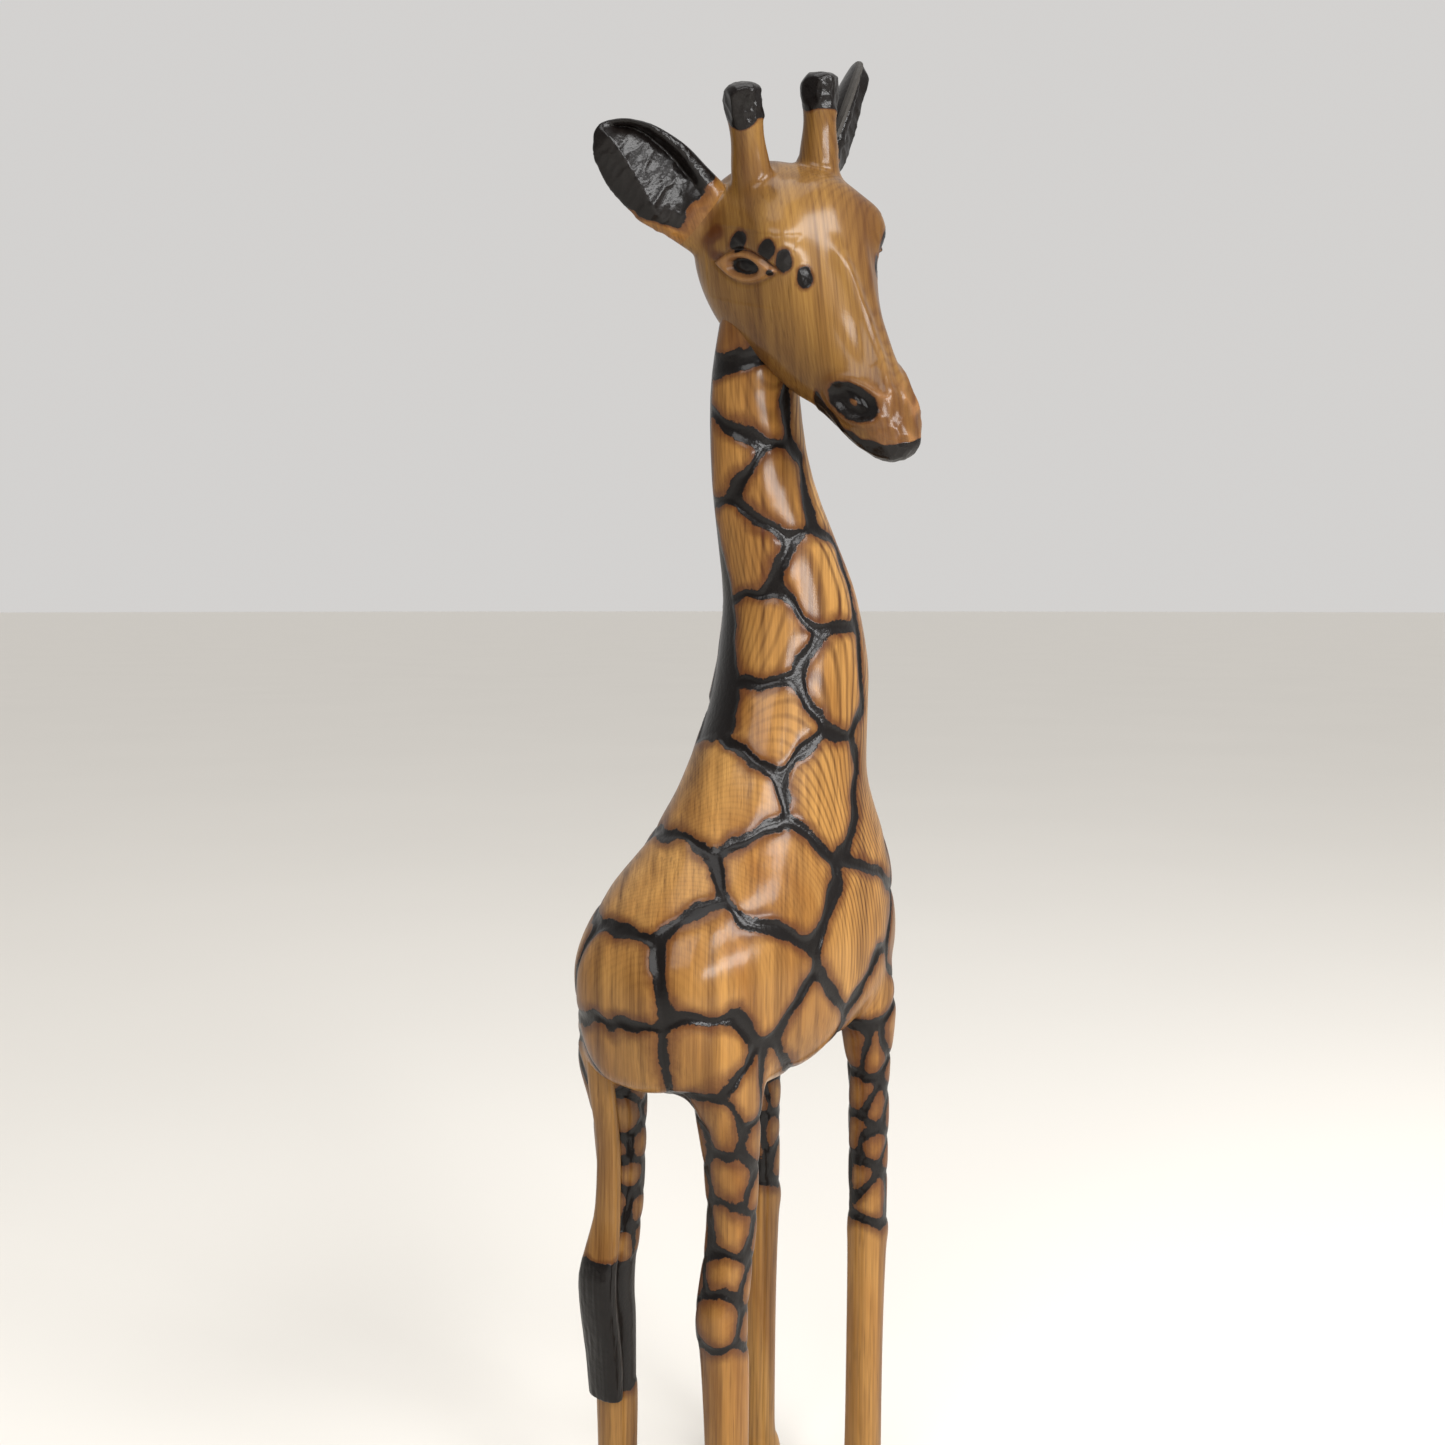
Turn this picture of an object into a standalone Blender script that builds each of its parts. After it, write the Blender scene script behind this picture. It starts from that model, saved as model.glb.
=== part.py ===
"""Carved giraffe statue, standing, with its head turned to its right side.

Frame: +X is the way the body faces, +Y is its left side, +Z is up. The origin is on the
surface it stands on, under the middle of the object's bounding box. Metres.

The statue is divided where a carver glues such a figure up: the trunk, the neck, the head,
two ears, two horns, four legs and the tail. Each joint is a tenon in a socket, with glue_gap
left free around it.
"""

import math

import bmesh
import bpy
import numpy as np
from mathutils import Matrix, Vector

mm = 0.001

# Driving dimensions
glue_gap = 0.3 * mm  # free space round every tenon
front_leg_x, rear_leg_x = 35.4 * mm, -31.2 * mm  # fore and aft places of the legs
leg_stance_y = 21.2 * mm  # half the distance between left and right legs
body_length = 112 * mm  # rump to chest
body_width = 68 * mm  # flank to flank
neck_joint_height = 240 * mm  # where the neck stands on the trunk
neck_tenon_length = 14 * mm
neck_tenon_radius = 8 * mm
head_place = Vector((9.6, -8.6, 389.1)) * mm  # middle of the skull
head_yaw, head_pitch, head_roll = math.radians(-87), math.radians(48), math.radians(23)

half_length, half_width = body_length / 2, body_width / 2
widest_ring = (56, 34)  # half length and half width of the widest ring below (mm)

# Rings of the trunk and neck, from belly to skull:
# height, middle x, middle y, half length, half width (mm), and how square the ring is.
trunk_rings = [
    (150.0, -16, 0, 14, 10, 2.0),
    (151.5, -17, 0, 27, 21, 2.1),
    (155.0, -16, 0, 35.5, 27, 2.3),
    (160.0, -11, 0, 42, 30, 2.5),
    (166.0, -6, 0, 48.5, 32, 2.6),
    (173.0, -1.5, 0, 54, 33.5, 2.6),
    (182.0, 0, 0, 56, 34, 2.6),
    (190.0, 1.5, 0, 56, 34, 2.5),
    (199.0, 4, 0, 53.5, 33, 2.4),
    (207.0, 8, 0, 50, 31.5, 2.3),
    (217.0, 12.4, 0, 44, 28, 2.2),
    (226.0, 14.5, 0, 38, 26, 2.1),
    (235.0, 16.5, 0, 33.5, 24.5, 2.0),
    (245.0, 19.3, 0, 30.5, 23.5, 2.0),
    (257.0, 22.5, 0, 28.3, 22.4, 2.0),
    (270.0, 24.4, 0, 26.6, 21.4, 2.0),
    (288.0, 23.6, 0.5, 23.2, 19.5, 2.0),
    (302.0, 20, 1.5, 21, 17.8, 2.0),
    (324.0, 13, 3, 17.3, 14.6, 2.0),
    (348.0, 9.4, 3, 15, 13, 2.0),
    (365.0, 8, 0, 14, 12.5, 2.0),
    (378.0, 8, -3, 13, 12, 2.0),
    (388.0, 8, -5, 9, 9, 2.0),
]

# Rings of a leg, from the sole up: height, offset forward, half length, half width (mm).
front_leg_rings = [
    (0.0, -0.4, 8.0, 7.2),
    (6.0, -0.4, 7.8, 7.0),
    (11.0, -0.7, 6.9, 6.3),
    (14.0, -0.8, 5.9, 5.6),
    (30.0, -0.5, 5.6, 5.4),
    (60.0, 0, 5.6, 5.4),
    (85.0, 0.8, 5.9, 5.7),
    (93.0, 1.3, 6.6, 6.1),
    (101.0, 1.0, 6.1, 5.9),
    (120.0, 1.2, 6.2, 6.0),
    (140.0, 1.2, 6.8, 6.5),
    (154.0, 0.6, 9.0, 7.6),
    (166.0, -0.6, 10.8, 8.8),
    (176.0, -1.5, 9.5, 8.0),
    (184.0, -2, 6.5, 6.0),
]
rear_leg_rings = [
    (0.0, -0.6, 8.0, 7.2),
    (6.0, -0.6, 7.8, 7.0),
    (11.0, -0.9, 6.9, 6.4),
    (14.0, -1.0, 5.9, 5.6),
    (30.0, -0.8, 5.6, 5.4),
    (52.0, -0.8, 6.0, 5.8),
    (76.0, -1.6, 6.6, 6.4),
    (84.0, -2.9, 7.4, 6.6),
    (91.0, -3.1, 7.8, 6.8),
    (99.0, -1.6, 7.2, 6.8),
    (114.0, 1.2, 6.6, 7.0),
    (130.0, 1.2, 6.9, 7.8),
    (143.0, 0.2, 8.6, 9.0),
    (152.0, -1.0, 11.0, 9.8),
    (162.0, -1.4, 12.0, 9.6),
    (173.0, -0.5, 10.5, 8.0),
    (181.0, 1.0, 7.0, 6.0),
]

# Rings of the tail, from its root on the rump down to the end of the tuft, carved lying on the
# rear face of the left hind leg: height, middle x, middle y, half thickness, half width (mm).
tail_rings = [
    (165.0, -41.5, 17.0, 2.6, 3.2),
    (159.0, -42.2, 17.8, 3.0, 4.0),
    (148.0, -40.4, 18.6, 3.0, 4.2),
    (130.0, -37.4, 19.0, 2.6, 4.0),
    (112.0, -37.6, 19.2, 2.8, 4.2),
    (103.0, -38.8, 19.6, 3.3, 5.2),
    (92.0, -41.2, 20.0, 3.8, 6.4),
    (80.0, -40.4, 20.2, 3.8, 6.4),
    (67.0, -38.4, 20.4, 3.6, 6.3),
    (54.0, -37.4, 20.6, 3.2, 5.9),
]

# Rings of the head from the back of the skull to the lips, in the head's own frame: distance
# forward, sideways, top, bottom, half width (mm), squareness. The muzzle drifts to its right.
head_rings = [
    (-25.5, 0.0, 7.0, -7.5, 9.0, 2.0),
    (-22.0, 0.0, 13.5, -14.5, 16.0, 2.1),
    (-14.5, 0.0, 19.5, -22.0, 22.0, 2.4),
    (-8.0, 0.0, 22.0, -25.5, 24.0, 2.6),
    (0.0, 0.0, 24.5, -27.0, 24.5, 2.8),
    (7.0, 0.0, 24.0, -27.0, 24.0, 2.7),
    (15.0, -0.8, 20.5, -26.0, 22.0, 2.5),
    (27.0, -2.4, 14.0, -25.0, 18.0, 2.3),
    (35.0, -3.0, 9.5, -23.5, 15.4, 2.3),
    (42.0, -3.2, 6.5, -21.5, 13.8, 2.3),
    (49.0, -3.2, 4.5, -20.5, 12.2, 2.3),
    (57.0, -3.0, 2.6, -20.0, 12.2, 2.3),
    (63.0, -3.0, 0.8, -19.2, 11.6, 2.3),
    (68.0, -3.0, -2.2, -18.0, 9.6, 2.2),
    (71.5, -3.0, -5.5, -15.8, 6.4, 2.1),
    (73.0, -3.0, -8.6, -13.0, 3.0, 2.0),
]
brow_place = Vector((8.5, 15.5, 12.0)) * mm  # swelling over the left eye, in the head's frame
brow_radii = Vector((10.0, 9.0, 9.5)) * mm

# Ears and horns, in the head's own frame, on its left (1) and right (-1). Cut by eye, the two
# sides aren't quite alike.
ear_roots = {1: Vector((-14.0, 16.5, 6.0)) * mm, -1: Vector((-13.6, -17.0, 0.5)) * mm}
ear_tips = {1: Vector((-39.4, 44.0, 28.9)) * mm, -1: Vector((-40.5, -46.0, 16.5)) * mm}
ear_facing = Vector((0.70, 0.70, 0.14))  # the hollow of the ear looks this way
# distance along the ear as a share of its length, half width and half thickness (mm)
ear_rings = [
    (0.00, 7.0, 4.6),
    (0.14, 9.2, 4.8),
    (0.28, 11.2, 4.0),
    (0.45, 12.6, 3.2),
    (0.60, 12.4, 2.8),
    (0.75, 11.0, 2.4),
    (0.88, 7.8, 2.0),
    (0.96, 4.4, 1.7),
    (1.00, 1.6, 1.1),
]
horn_roots = {1: Vector((-8.6, 11.0, 16.6)) * mm, -1: Vector((-9.5, -11.0, 13.5)) * mm}
horn_tips = {1: Vector((-25.6, 14.0, 38.9)) * mm, -1: Vector((-26.0, -14.0, 38.0)) * mm}
# distance along the horn as a share of its length, and radius (mm)
horn_profile = [
    (0.00, 4.4),
    (0.20, 5.4),
    (0.30, 6.2),
    (0.40, 5.2),
    (0.54, 4.7),
    (0.68, 5.0),
    (0.78, 5.6),
    (0.88, 5.7),
    (0.95, 4.7),
    (0.99, 2.8),
]

ring_sides = {"trunk": 36, "leg": 18, "tail": 12, "head": 28, "ear": 20, "horn": 16}

wood = {"base_color": (0.42, 0.19, 0.06, 1), "roughness": 0.32}
pale_wood = {"base_color": (0.45, 0.21, 0.07, 1), "roughness": 0.3}
burnt = {"base_color": (0.02, 0.012, 0.01, 1), "roughness": 0.4}


def clear_scene():
    for thing in list(bpy.data.objects):
        bpy.data.objects.remove(thing, do_unlink=True)


def new_collection(name):
    collection = bpy.data.collections.new(name)
    bpy.context.scene.collection.children.link(collection)
    return collection


def finish_material(name, finish):
    material = bpy.data.materials.new(name)
    material.use_nodes = True
    shader = material.node_tree.nodes["Principled BSDF"]
    shader.inputs["Base Color"].default_value = finish["base_color"]
    shader.inputs["Roughness"].default_value = finish["roughness"]
    shader.inputs["Metallic"].default_value = 0.0
    material.diffuse_color = finish["base_color"]
    return material


def smooth_rows(rows, steps):
    """Rows read along a smooth curve through the given ones, steps to each span."""
    table = np.array(rows, float)
    slopes = np.gradient(table, axis=0)
    out = []
    for here, there, slope, next_slope in zip(table[:-1], table[1:], slopes[:-1], slopes[1:]):
        for step in range(steps):
            t = step / steps
            keep = 2 * t**3 - 3 * t**2 + 1
            rise = t**3 - 2 * t**2 + t
            pull = t**3 - t**2
            out.append(here * keep + slope * rise + there * (1 - keep) + next_slope * pull)
    out.append(table[-1])
    return out


def oval(sides, half_a, half_b, squareness):
    """Points round a superellipse."""
    points = []
    for k in range(sides):
        turn = 2 * math.pi * k / sides
        c, s = math.cos(turn), math.sin(turn)
        a = math.copysign(abs(c) ** (2 / squareness), c)
        b = math.copysign(abs(s) ** (2 / squareness), s)
        points.append((half_a * a, half_b * b))
    return points


def loft(name, rings, collection, material=None):
    """One closed solid through rings of equally many points, with flat ends."""
    bm = bmesh.new()
    loops = []
    for ring in rings:
        loops.append([bm.verts.new(point) for point in ring])
    for low, high in zip(loops[:-1], loops[1:]):
        for k in range(len(low)):
            after = (k + 1) % len(low)
            bm.faces.new((low[k], low[after], high[after], high[k]))
    bm.faces.new(loops[0])
    bm.faces.new(loops[-1])
    bmesh.ops.recalc_face_normals(bm, faces=bm.faces)
    mesh = bpy.data.meshes.new(name)
    bm.to_mesh(mesh)
    bm.free()
    return place(name, mesh, collection, material)


def place(name, mesh, collection, material):
    thing = bpy.data.objects.new(name, mesh)
    collection.objects.link(thing)
    if material:
        mesh.materials.append(material)
    mesh.shade_smooth()
    mesh.set_sharp_from_angle(angle=math.radians(40))
    return thing


def hide_cutter(thing):
    thing.hide_render = True
    thing.display_type = "WIRE"
    return thing


def add_boolean(thing, other, operation="DIFFERENCE"):
    boolean = thing.modifiers.new(operation.lower() + "_" + other.name, "BOOLEAN")
    boolean.operation = operation
    boolean.object = other


def trunk_ring_points(row, grow):
    height, x, y, half_a, half_b, squareness = row
    ring = oval(ring_sides["trunk"], half_a * mm + grow, half_b * mm + grow, squareness)
    return [(x * mm + a, y * mm + b, height * mm) for a, b in ring]


def body_rows():
    rows = smooth_rows(trunk_rings, 2)
    scale_a = half_length / (widest_ring[0] * mm)
    scale_b = half_width / (widest_ring[1] * mm)
    return [(z, x, y, a * scale_a, b * scale_b, n) for z, x, y, a, b, n in rows]


def row_at(rows, height):
    """The row at this height (mm), read between its two neighbours."""
    for low, high in zip(rows[:-1], rows[1:]):
        if low[0] <= height <= high[0]:
            share = (height - low[0]) / (high[0] - low[0])
            return tuple(p + share * (q - p) for p, q in zip(low, high))
    return tuple(rows[-1])


def make_trunk(collection, material):
    rows = body_rows()
    joint = neck_joint_height / mm
    low = [row for row in rows if row[0] < joint - 1] + [row_at(rows, joint)]
    return loft("torso", [trunk_ring_points(row, 0) for row in low], collection, material)


def neck_rings(grow):
    """The neck's rings, from the end of its tenon up to its top inside the skull."""
    rows = body_rows()
    joint = (neck_joint_height + glue_gap) / mm
    foot = row_at(rows, joint)
    rings = []
    sides = ring_sides["trunk"]
    radius = neck_tenon_radius + grow
    for height in (neck_joint_height - neck_tenon_length - grow, neck_joint_height + glue_gap):
        ring = oval(sides, radius, radius, 2)
        rings.append([(foot[1] * mm + a, foot[2] * mm + b, height) for a, b in ring])
    rings.append(trunk_ring_points(foot, grow))
    for row in rows:
        if row[0] > joint + 1:
            rings.append(trunk_ring_points(row, grow))
    return rings


def make_neck_socket(collection):
    sides = ring_sides["trunk"]
    foot = row_at(body_rows(), neck_joint_height / mm)
    radius = neck_tenon_radius + glue_gap
    rings = []
    for height in (neck_joint_height - neck_tenon_length - glue_gap, neck_joint_height + 5 * mm):
        ring = oval(sides, radius, radius, 2)
        rings.append([(foot[1] * mm + a, foot[2] * mm + b, height) for a, b in ring])
    return hide_cutter(loft("neck_socket", rings, collection))


def leg_rings(rows, x, side, grow):
    rings = []
    for height, forward, half_a, half_b in smooth_rows(rows, 2):
        ring = oval(ring_sides["leg"], half_a * mm + grow, half_b * mm + grow, 2.4)
        middle = (x + forward * mm, side * leg_stance_y)
        rings.append([(middle[0] + a, middle[1] + b, height * mm) for a, b in ring])
    return rings


def tail_points(grow):
    rings = []
    for height, x, y, half_a, half_b in smooth_rows(tail_rings, 2):
        ring = oval(ring_sides["tail"], half_a * mm + grow, half_b * mm + grow, 2.2)
        rings.append([(x * mm + a, y * mm + b, height * mm) for a, b in ring])
    rings[0] = [(x, y, z + grow) for x, y, z in rings[0]]
    rings[-1] = [(x, y, z - grow) for x, y, z in rings[-1]]
    return rings


def head_frame():
    turn = Matrix.Rotation(head_yaw, 4, "Z")
    turn = turn @ Matrix.Rotation(head_pitch, 4, "Y")
    turn = turn @ Matrix.Rotation(head_roll, 4, "X")
    return Matrix.Translation(head_place) @ turn


def head_points():
    frame = head_frame()
    rings = []
    for forward, sideways, top, bottom, half_b, squareness in smooth_rows(head_rings, 2):
        ring = oval(ring_sides["head"], half_b * mm, (top - bottom) / 2 * mm, squareness)
        middle = (top + bottom) / 2 * mm
        rings.append(
            [frame @ Vector((forward * mm, sideways * mm + a, middle + b)) for a, b in ring]
        )
    return rings


def make_brow(name, side, collection):
    """The swelling over an eye, to be joined to the head."""
    bm = bmesh.new()
    shape = Matrix.Diagonal((*brow_radii, 1))
    middle = Matrix.Translation(mirrored(brow_place, side))
    bmesh.ops.create_uvsphere(
        bm, u_segments=16, v_segments=10, radius=1, matrix=head_frame() @ middle @ shape
    )
    mesh = bpy.data.meshes.new(name)
    bm.to_mesh(mesh)
    bm.free()
    return hide_cutter(place(name, mesh, collection, None))


def mirrored(point, side):
    return Vector((point.x, point.y * side, point.z))


def ear_points(side, grow):
    """A leaf with a hollow front, from its round root to its tip."""
    frame = head_frame()
    root, tip = ear_roots[side], ear_tips[side]
    along = (tip - root).normalized()
    facing = mirrored(ear_facing, side)
    facing = (facing - along * facing.dot(along)).normalized()
    across = along.cross(facing)
    length = (tip - root).length
    rings = []
    for share, half_a, half_b in smooth_rows(ear_rings, 2):
        middle = root + along * length * share
        ring = []
        for a, b in oval(ring_sides["ear"], half_a * mm + grow, half_b * mm + grow, 2):
            curl = (a / (half_a * mm + grow)) ** 2 * half_a * mm * 0.16
            ring.append(frame @ (middle + across * a + facing * (b + curl)))
        rings.append(ring)
    return rings


def make_horn(name, side, grow, collection, material=None):
    """A turned horn with a rounded knob, its profile spun by a Screw modifier."""
    root, tip = horn_roots[side], horn_tips[side]
    length = (tip - root).length
    profile = [(radius * mm + grow, share * length) for share, radius in horn_profile]
    profile = [(0.0, -grow)] + [(profile[0][0], -grow)] + profile[1:] + [(0.0, length + grow)]
    mesh = bpy.data.meshes.new(name)
    corners = [(radius, 0.0, height) for radius, height in reversed(profile)]
    edges = [(k, k + 1) for k in range(len(corners) - 1)]
    mesh.from_pydata(corners, edges, [])
    thing = bpy.data.objects.new(name, mesh)
    collection.objects.link(thing)
    if material:
        mesh.materials.append(material)
    screw = thing.modifiers.new("turning", "SCREW")
    screw.steps = screw.render_steps = ring_sides["horn"]
    screw.use_merge_vertices = True
    screw.merge_threshold = 0.00001
    screw.use_smooth_shade = True
    lean = Vector((0, 0, 1)).rotation_difference(tip - root).to_matrix().to_4x4()
    thing.matrix_world = head_frame() @ Matrix.Translation(root) @ lean
    return thing


def centre_on_feet(parts, others):
    """Moves everything so that the box round all the parts has its middle over the origin."""
    bpy.context.view_layer.update()
    graph = bpy.context.evaluated_depsgraph_get()
    corners = []
    for thing in parts:
        solid = thing.evaluated_get(graph)
        corners += [solid.matrix_world @ Vector(corner) for corner in solid.bound_box]
    xs = [corner.x for corner in corners]
    ys = [corner.y for corner in corners]
    middle = Vector(((min(xs) + max(xs)) / 2, (min(ys) + max(ys)) / 2, 0))
    for thing in parts + others:
        thing.matrix_world = Matrix.Translation(-middle) @ thing.matrix_world


def main():
    clear_scene()
    giraffe = new_collection("carved_giraffe")
    cutters = new_collection("cutters")
    torso = make_trunk(giraffe, finish_material("torso_wood", wood))
    neck = loft("neck", neck_rings(0), giraffe, finish_material("neck_wood", wood))
    head = loft("head", head_points(), giraffe, finish_material("head_wood", pale_wood))
    tail = loft("tail", tail_points(0), giraffe, finish_material("tail_wood", pale_wood))
    parts = [torso, neck, head, tail]
    sockets = [make_neck_socket(cutters)]
    add_boolean(torso, sockets[0])
    for hand, side in (("left", 1), ("right", -1)):
        brow = make_brow("brow_" + hand, side, cutters)
        add_boolean(head, brow, "UNION")
        sockets.append(brow)
    skull_socket = hide_cutter(loft("skull_socket", neck_rings(glue_gap), cutters))
    add_boolean(head, skull_socket)
    tail_seat = hide_cutter(loft("tail_seat", tail_points(glue_gap), cutters))
    add_boolean(torso, tail_seat)
    sockets += [skull_socket, tail_seat]
    for end, rows, x in (
        ("front", front_leg_rings, front_leg_x),
        ("rear", rear_leg_rings, rear_leg_x),
    ):
        for hand, side in (("left", 1), ("right", -1)):
            name = f"leg_{end}_{hand}"
            material = finish_material(name + "_wood", wood)
            leg = loft(name, leg_rings(rows, x, side, 0), giraffe, material)
            socket_rings = leg_rings(rows, x, side, glue_gap)
            socket = hide_cutter(loft(name + "_socket", socket_rings, cutters))
            add_boolean(torso, socket)
            if name == "leg_rear_left":
                add_boolean(leg, tail_seat)
            parts.append(leg)
            sockets.append(socket)
    for hand, side in (("left", 1), ("right", -1)):
        ear_material = finish_material(f"ear_{hand}_wood", burnt)
        ear = loft(f"ear_{hand}", ear_points(side, 0), giraffe, ear_material)
        ear_socket = hide_cutter(loft(f"ear_{hand}_socket", ear_points(side, glue_gap), cutters))
        horn_material = finish_material(f"horn_{hand}_wood", burnt)
        horn = make_horn(f"horn_{hand}", side, 0, giraffe, horn_material)
        horn_socket = hide_cutter(make_horn(f"horn_{hand}_socket", side, glue_gap, cutters))
        add_boolean(head, ear_socket)
        add_boolean(head, horn_socket)
        parts += [ear, horn]
        sockets += [ear_socket, horn_socket]
    centre_on_feet(parts, sockets)


main()
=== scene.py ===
import math

import bmesh
import bpy
import numpy as np
from mathutils import Matrix, Vector, kdtree


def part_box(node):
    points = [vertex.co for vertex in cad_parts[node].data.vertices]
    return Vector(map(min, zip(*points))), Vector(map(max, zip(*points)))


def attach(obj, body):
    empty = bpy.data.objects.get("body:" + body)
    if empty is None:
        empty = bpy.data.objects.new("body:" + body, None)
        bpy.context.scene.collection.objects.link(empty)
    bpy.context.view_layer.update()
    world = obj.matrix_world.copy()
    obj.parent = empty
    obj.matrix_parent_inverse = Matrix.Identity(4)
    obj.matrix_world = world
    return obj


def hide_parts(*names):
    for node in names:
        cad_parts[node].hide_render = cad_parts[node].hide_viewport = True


mm = 0.001
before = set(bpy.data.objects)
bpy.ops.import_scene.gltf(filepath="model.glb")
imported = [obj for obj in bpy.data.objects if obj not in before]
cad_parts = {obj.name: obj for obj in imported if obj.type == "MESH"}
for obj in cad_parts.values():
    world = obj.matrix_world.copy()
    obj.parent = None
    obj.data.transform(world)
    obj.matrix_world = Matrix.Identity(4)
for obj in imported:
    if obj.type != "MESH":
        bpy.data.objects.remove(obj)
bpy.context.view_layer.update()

torsoLow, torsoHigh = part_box("torso")
carvingShift = np.array([torsoLow[0] * 1000 + 56, (torsoLow[1] + torsoHigh[1]) * 500, 0.0])


# shapes are worked out in the carving's own millimetres and shifted onto the frame at the end

def smoothRows(rows, steps):
    table = np.array(rows, float)
    slopes = np.gradient(table, axis=0)
    out = []
    for k in range(len(table) - 1):
        for part in range(steps):
            t = part / steps
            keep = 2 * t**3 - 3 * t**2 + 1
            out.append(table[k] * keep + slopes[k] * (t**3 - 2 * t**2 + t)
                       + table[k + 1] * (1 - keep) + slopes[k + 1] * (t**3 - t**2))
    out.append(table[-1])
    return np.array(out)


def rowAt(rows, height):
    table = np.array(rows, float)
    return [np.interp(height, table[:, 0], table[:, k]) for k in range(table.shape[1])]


def oval(sides, halfA, halfB, squareness):
    turn = 2 * math.pi * np.arange(sides) / sides
    c, s = np.cos(turn), np.sin(turn)
    power = 2 / squareness
    return (halfA * np.sign(c) * np.abs(c) ** power, halfB * np.sign(s) * np.abs(s) ** power)


def loft(bm, rings):
    loops = []
    for ring in rings:
        made = bmesh.ops.create_circle(bm, segments=len(ring), radius=1)["verts"]
        for vert, point in zip(made, ring):
            vert.co = point
        loops.append(list({edge for vert in made for edge in vert.link_edges}))
    for low, high in zip(loops, loops[1:]):
        bmesh.ops.bridge_loops(bm, edges=low + high)
    for end in (loops[0], loops[-1]):
        bmesh.ops.edgeloop_fill(bm, edges=end)


def meshOf(bm, name):
    for face in bm.faces:
        face.smooth = True
    bmesh.ops.recalc_face_normals(bm, faces=bm.faces)
    mesh = bpy.data.meshes.new(name)
    bm.to_mesh(mesh)
    bm.free()
    return mesh


def remeshed(mesh, voxel):
    thing = bpy.data.objects.new("blank", mesh)
    bpy.context.scene.collection.objects.link(thing)
    remesh = thing.modifiers.new("whole", "REMESH")
    remesh.mode = "VOXEL"
    remesh.voxel_size = voxel
    remesh.adaptivity = 0
    solid = bpy.data.meshes.new_from_object(thing.evaluated_get(bpy.context.evaluated_depsgraph_get()))
    bpy.data.objects.remove(thing)
    return solid


def readPoints(mesh):
    points = np.empty(len(mesh.vertices) * 3, np.float32)
    mesh.vertices.foreach_get("co", points)
    return points.reshape(-1, 3).astype(float)


def readNormals(mesh):
    normals = np.empty(len(mesh.vertices) * 3, np.float32)
    mesh.vertex_normals.foreach_get("vector", normals)
    return normals.reshape(-1, 3).astype(float)


def writePoints(mesh, points):
    mesh.vertices.foreach_set("co", points.astype(np.float32).ravel())
    mesh.update()


def smoothed(mesh, points, strength, repeats):
    ends = np.empty(len(mesh.edges) * 2, np.int32)
    mesh.edges.foreach_get("vertices", ends)
    a, b = ends.reshape(-1, 2).T
    count = np.bincount(a, minlength=len(points)) + np.bincount(b, minlength=len(points))
    for _ in range(repeats):
        total = np.stack([np.bincount(a, points[b, k], len(points))
                          + np.bincount(b, points[a, k], len(points)) for k in range(3)], 1)
        points = points + (total / count[:, None] - points) * strength[:, None]
    return points


def step(low, high, value):
    t = np.clip((value - low) / (high - low), 0, 1)
    return t * t * (3 - 2 * t)


def ripple(points, size, seed):
    rng = np.random.default_rng(seed)
    total = np.zeros(len(points))
    for _ in range(9):
        way = rng.normal(size=3)
        way /= np.linalg.norm(way)
        total += np.sin(points @ way * 2 * math.pi / (size * rng.uniform(0.7, 1.6)) + rng.uniform(0, 6.28))
    return total / 3


def writeFloat(mesh, name, values):
    layer = mesh.attributes.new(name, "FLOAT", "POINT")
    layer.data.foreach_set("value", values.astype(np.float32))


def spotEdges(points, spots, rounding):
    # distance in millimetres from each point to the nearest border of the spot it lies in
    seeds = np.array([seed for spot in spots for seed in spot], float)
    owner = np.array([k for k, spot in enumerate(spots) for _ in spot])
    home = np.empty(len(points), int)
    for start in range(0, len(points), 40000):
        some = points[start:start + 40000]
        home[start:start + 40000] = owner[((some[:, None] - seeds) ** 2).sum(2).argmin(1)]
    out = np.empty(len(points))
    for k in np.unique(home):
        here, own, rest = points[home == k], seeds[owner == k], seeds[owner != k]
        toRest = ((here[:, None] - rest) ** 2).sum(2)
        borders = np.max([(toRest - ((here - seed) ** 2).sum(1)[:, None])
                          / (2 * np.linalg.norm(rest - seed, axis=1)) for seed in own], axis=0)
        out[home == k] = -rounding * np.log(np.exp(-borders / rounding).sum(1))
    return out


def scallops(points, size, stretch, seed):
    # shallow marks that a gouge leaves, 0 in the middle of a mark and rising to its edges
    rng = np.random.default_rng(seed)
    low, high = points.min(0), points.max(0)
    scaled = points * stretch
    count = int(np.prod((high - low) * stretch / size)) + 8
    seeds = rng.uniform(low, high, (count, 3)) * stretch
    tree = kdtree.KDTree(count)
    for k, seed3 in enumerate(seeds):
        tree.insert(seed3, k)
    tree.balance()
    return np.array([min(tree.find(p)[2] / size, 1.0) for p in scaled]) ** 2


def keepSide(mesh, name, planes):
    # the part of a mesh on the inner side of every plane, with the cuts closed
    bm = bmesh.new()
    bm.from_mesh(mesh)
    for spot, way in planes:
        cut = bmesh.ops.bisect_plane(bm, geom=bm.verts[:] + bm.edges[:] + bm.faces[:], dist=1e-7,
                                     plane_co=spot, plane_no=way, clear_outer=True)
        rim = [item for item in cut["geom_cut"] if isinstance(item, bmesh.types.BMEdge)]
        for edge in rim:
            edge.smooth = False
        if rim:
            caps = bmesh.ops.edgeloop_fill(bm, edges=rim)["faces"]
            bmesh.ops.triangulate(bm, faces=caps)
    return meshOf(bm, name)


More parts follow.
